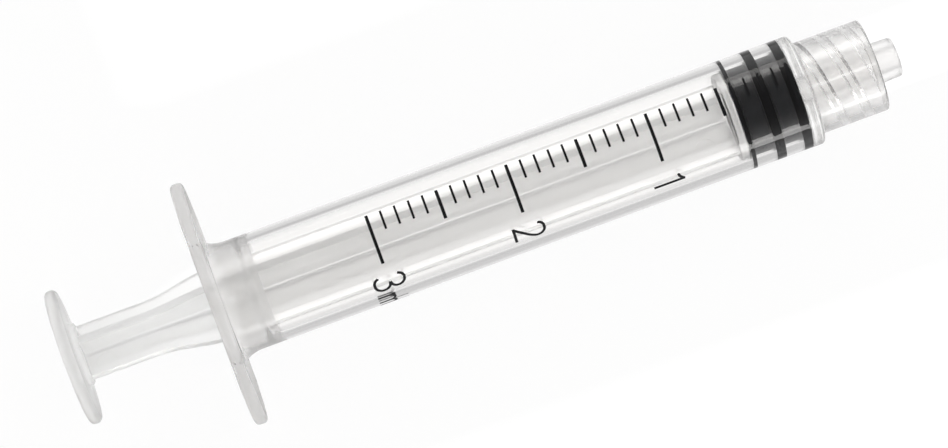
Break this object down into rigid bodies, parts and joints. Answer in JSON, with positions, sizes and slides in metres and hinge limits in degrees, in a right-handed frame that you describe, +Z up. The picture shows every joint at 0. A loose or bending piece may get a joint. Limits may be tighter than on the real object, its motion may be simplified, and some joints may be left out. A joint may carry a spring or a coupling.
{
  "type": "luer lock syringe",
  "caption": "Disposable hypodermic syringe: clear barrel with finger flange and threaded luer lock collar, black ribbed rubber stopper, cross-ribbed plunger rod with thumb disc.",
  "frame": {"origin": "on the barrel's axis, in the plane of the barrel's front face where the luer tip begins", "axes": "+X along the barrel towards the luer tip, Y along the finger flange, +Z up, which is the side with the printed scale"},
  "size_m": [0.0865, 0.025, 0.0138],
  "materials": {
    "clear_polypropylene": "gloss",
    "natural_polypropylene": "satin",
    "black_rubber": "satin"
  },
  "bodies": {
    "barrel": {"barrel": "clear_polypropylene"},
    "stopper": {"stopper": "black_rubber"},
    "plunger_rod": {"plunger_rod": "natural_polypropylene"}
  },
  "joints": [
    {"name": "plunger_slide", "type": "slide", "parent": "barrel", "child": "stopper", "axis": [-1, 0, 0], "range_m": [0, 0.0488]},
    {"name": "rod_turn", "type": "hinge", "parent": "stopper", "child": "plunger_rod", "pos_m": [-0.0075, 0, 0], "axis": [1, 0, 0], "continuous": true}
  ]
}
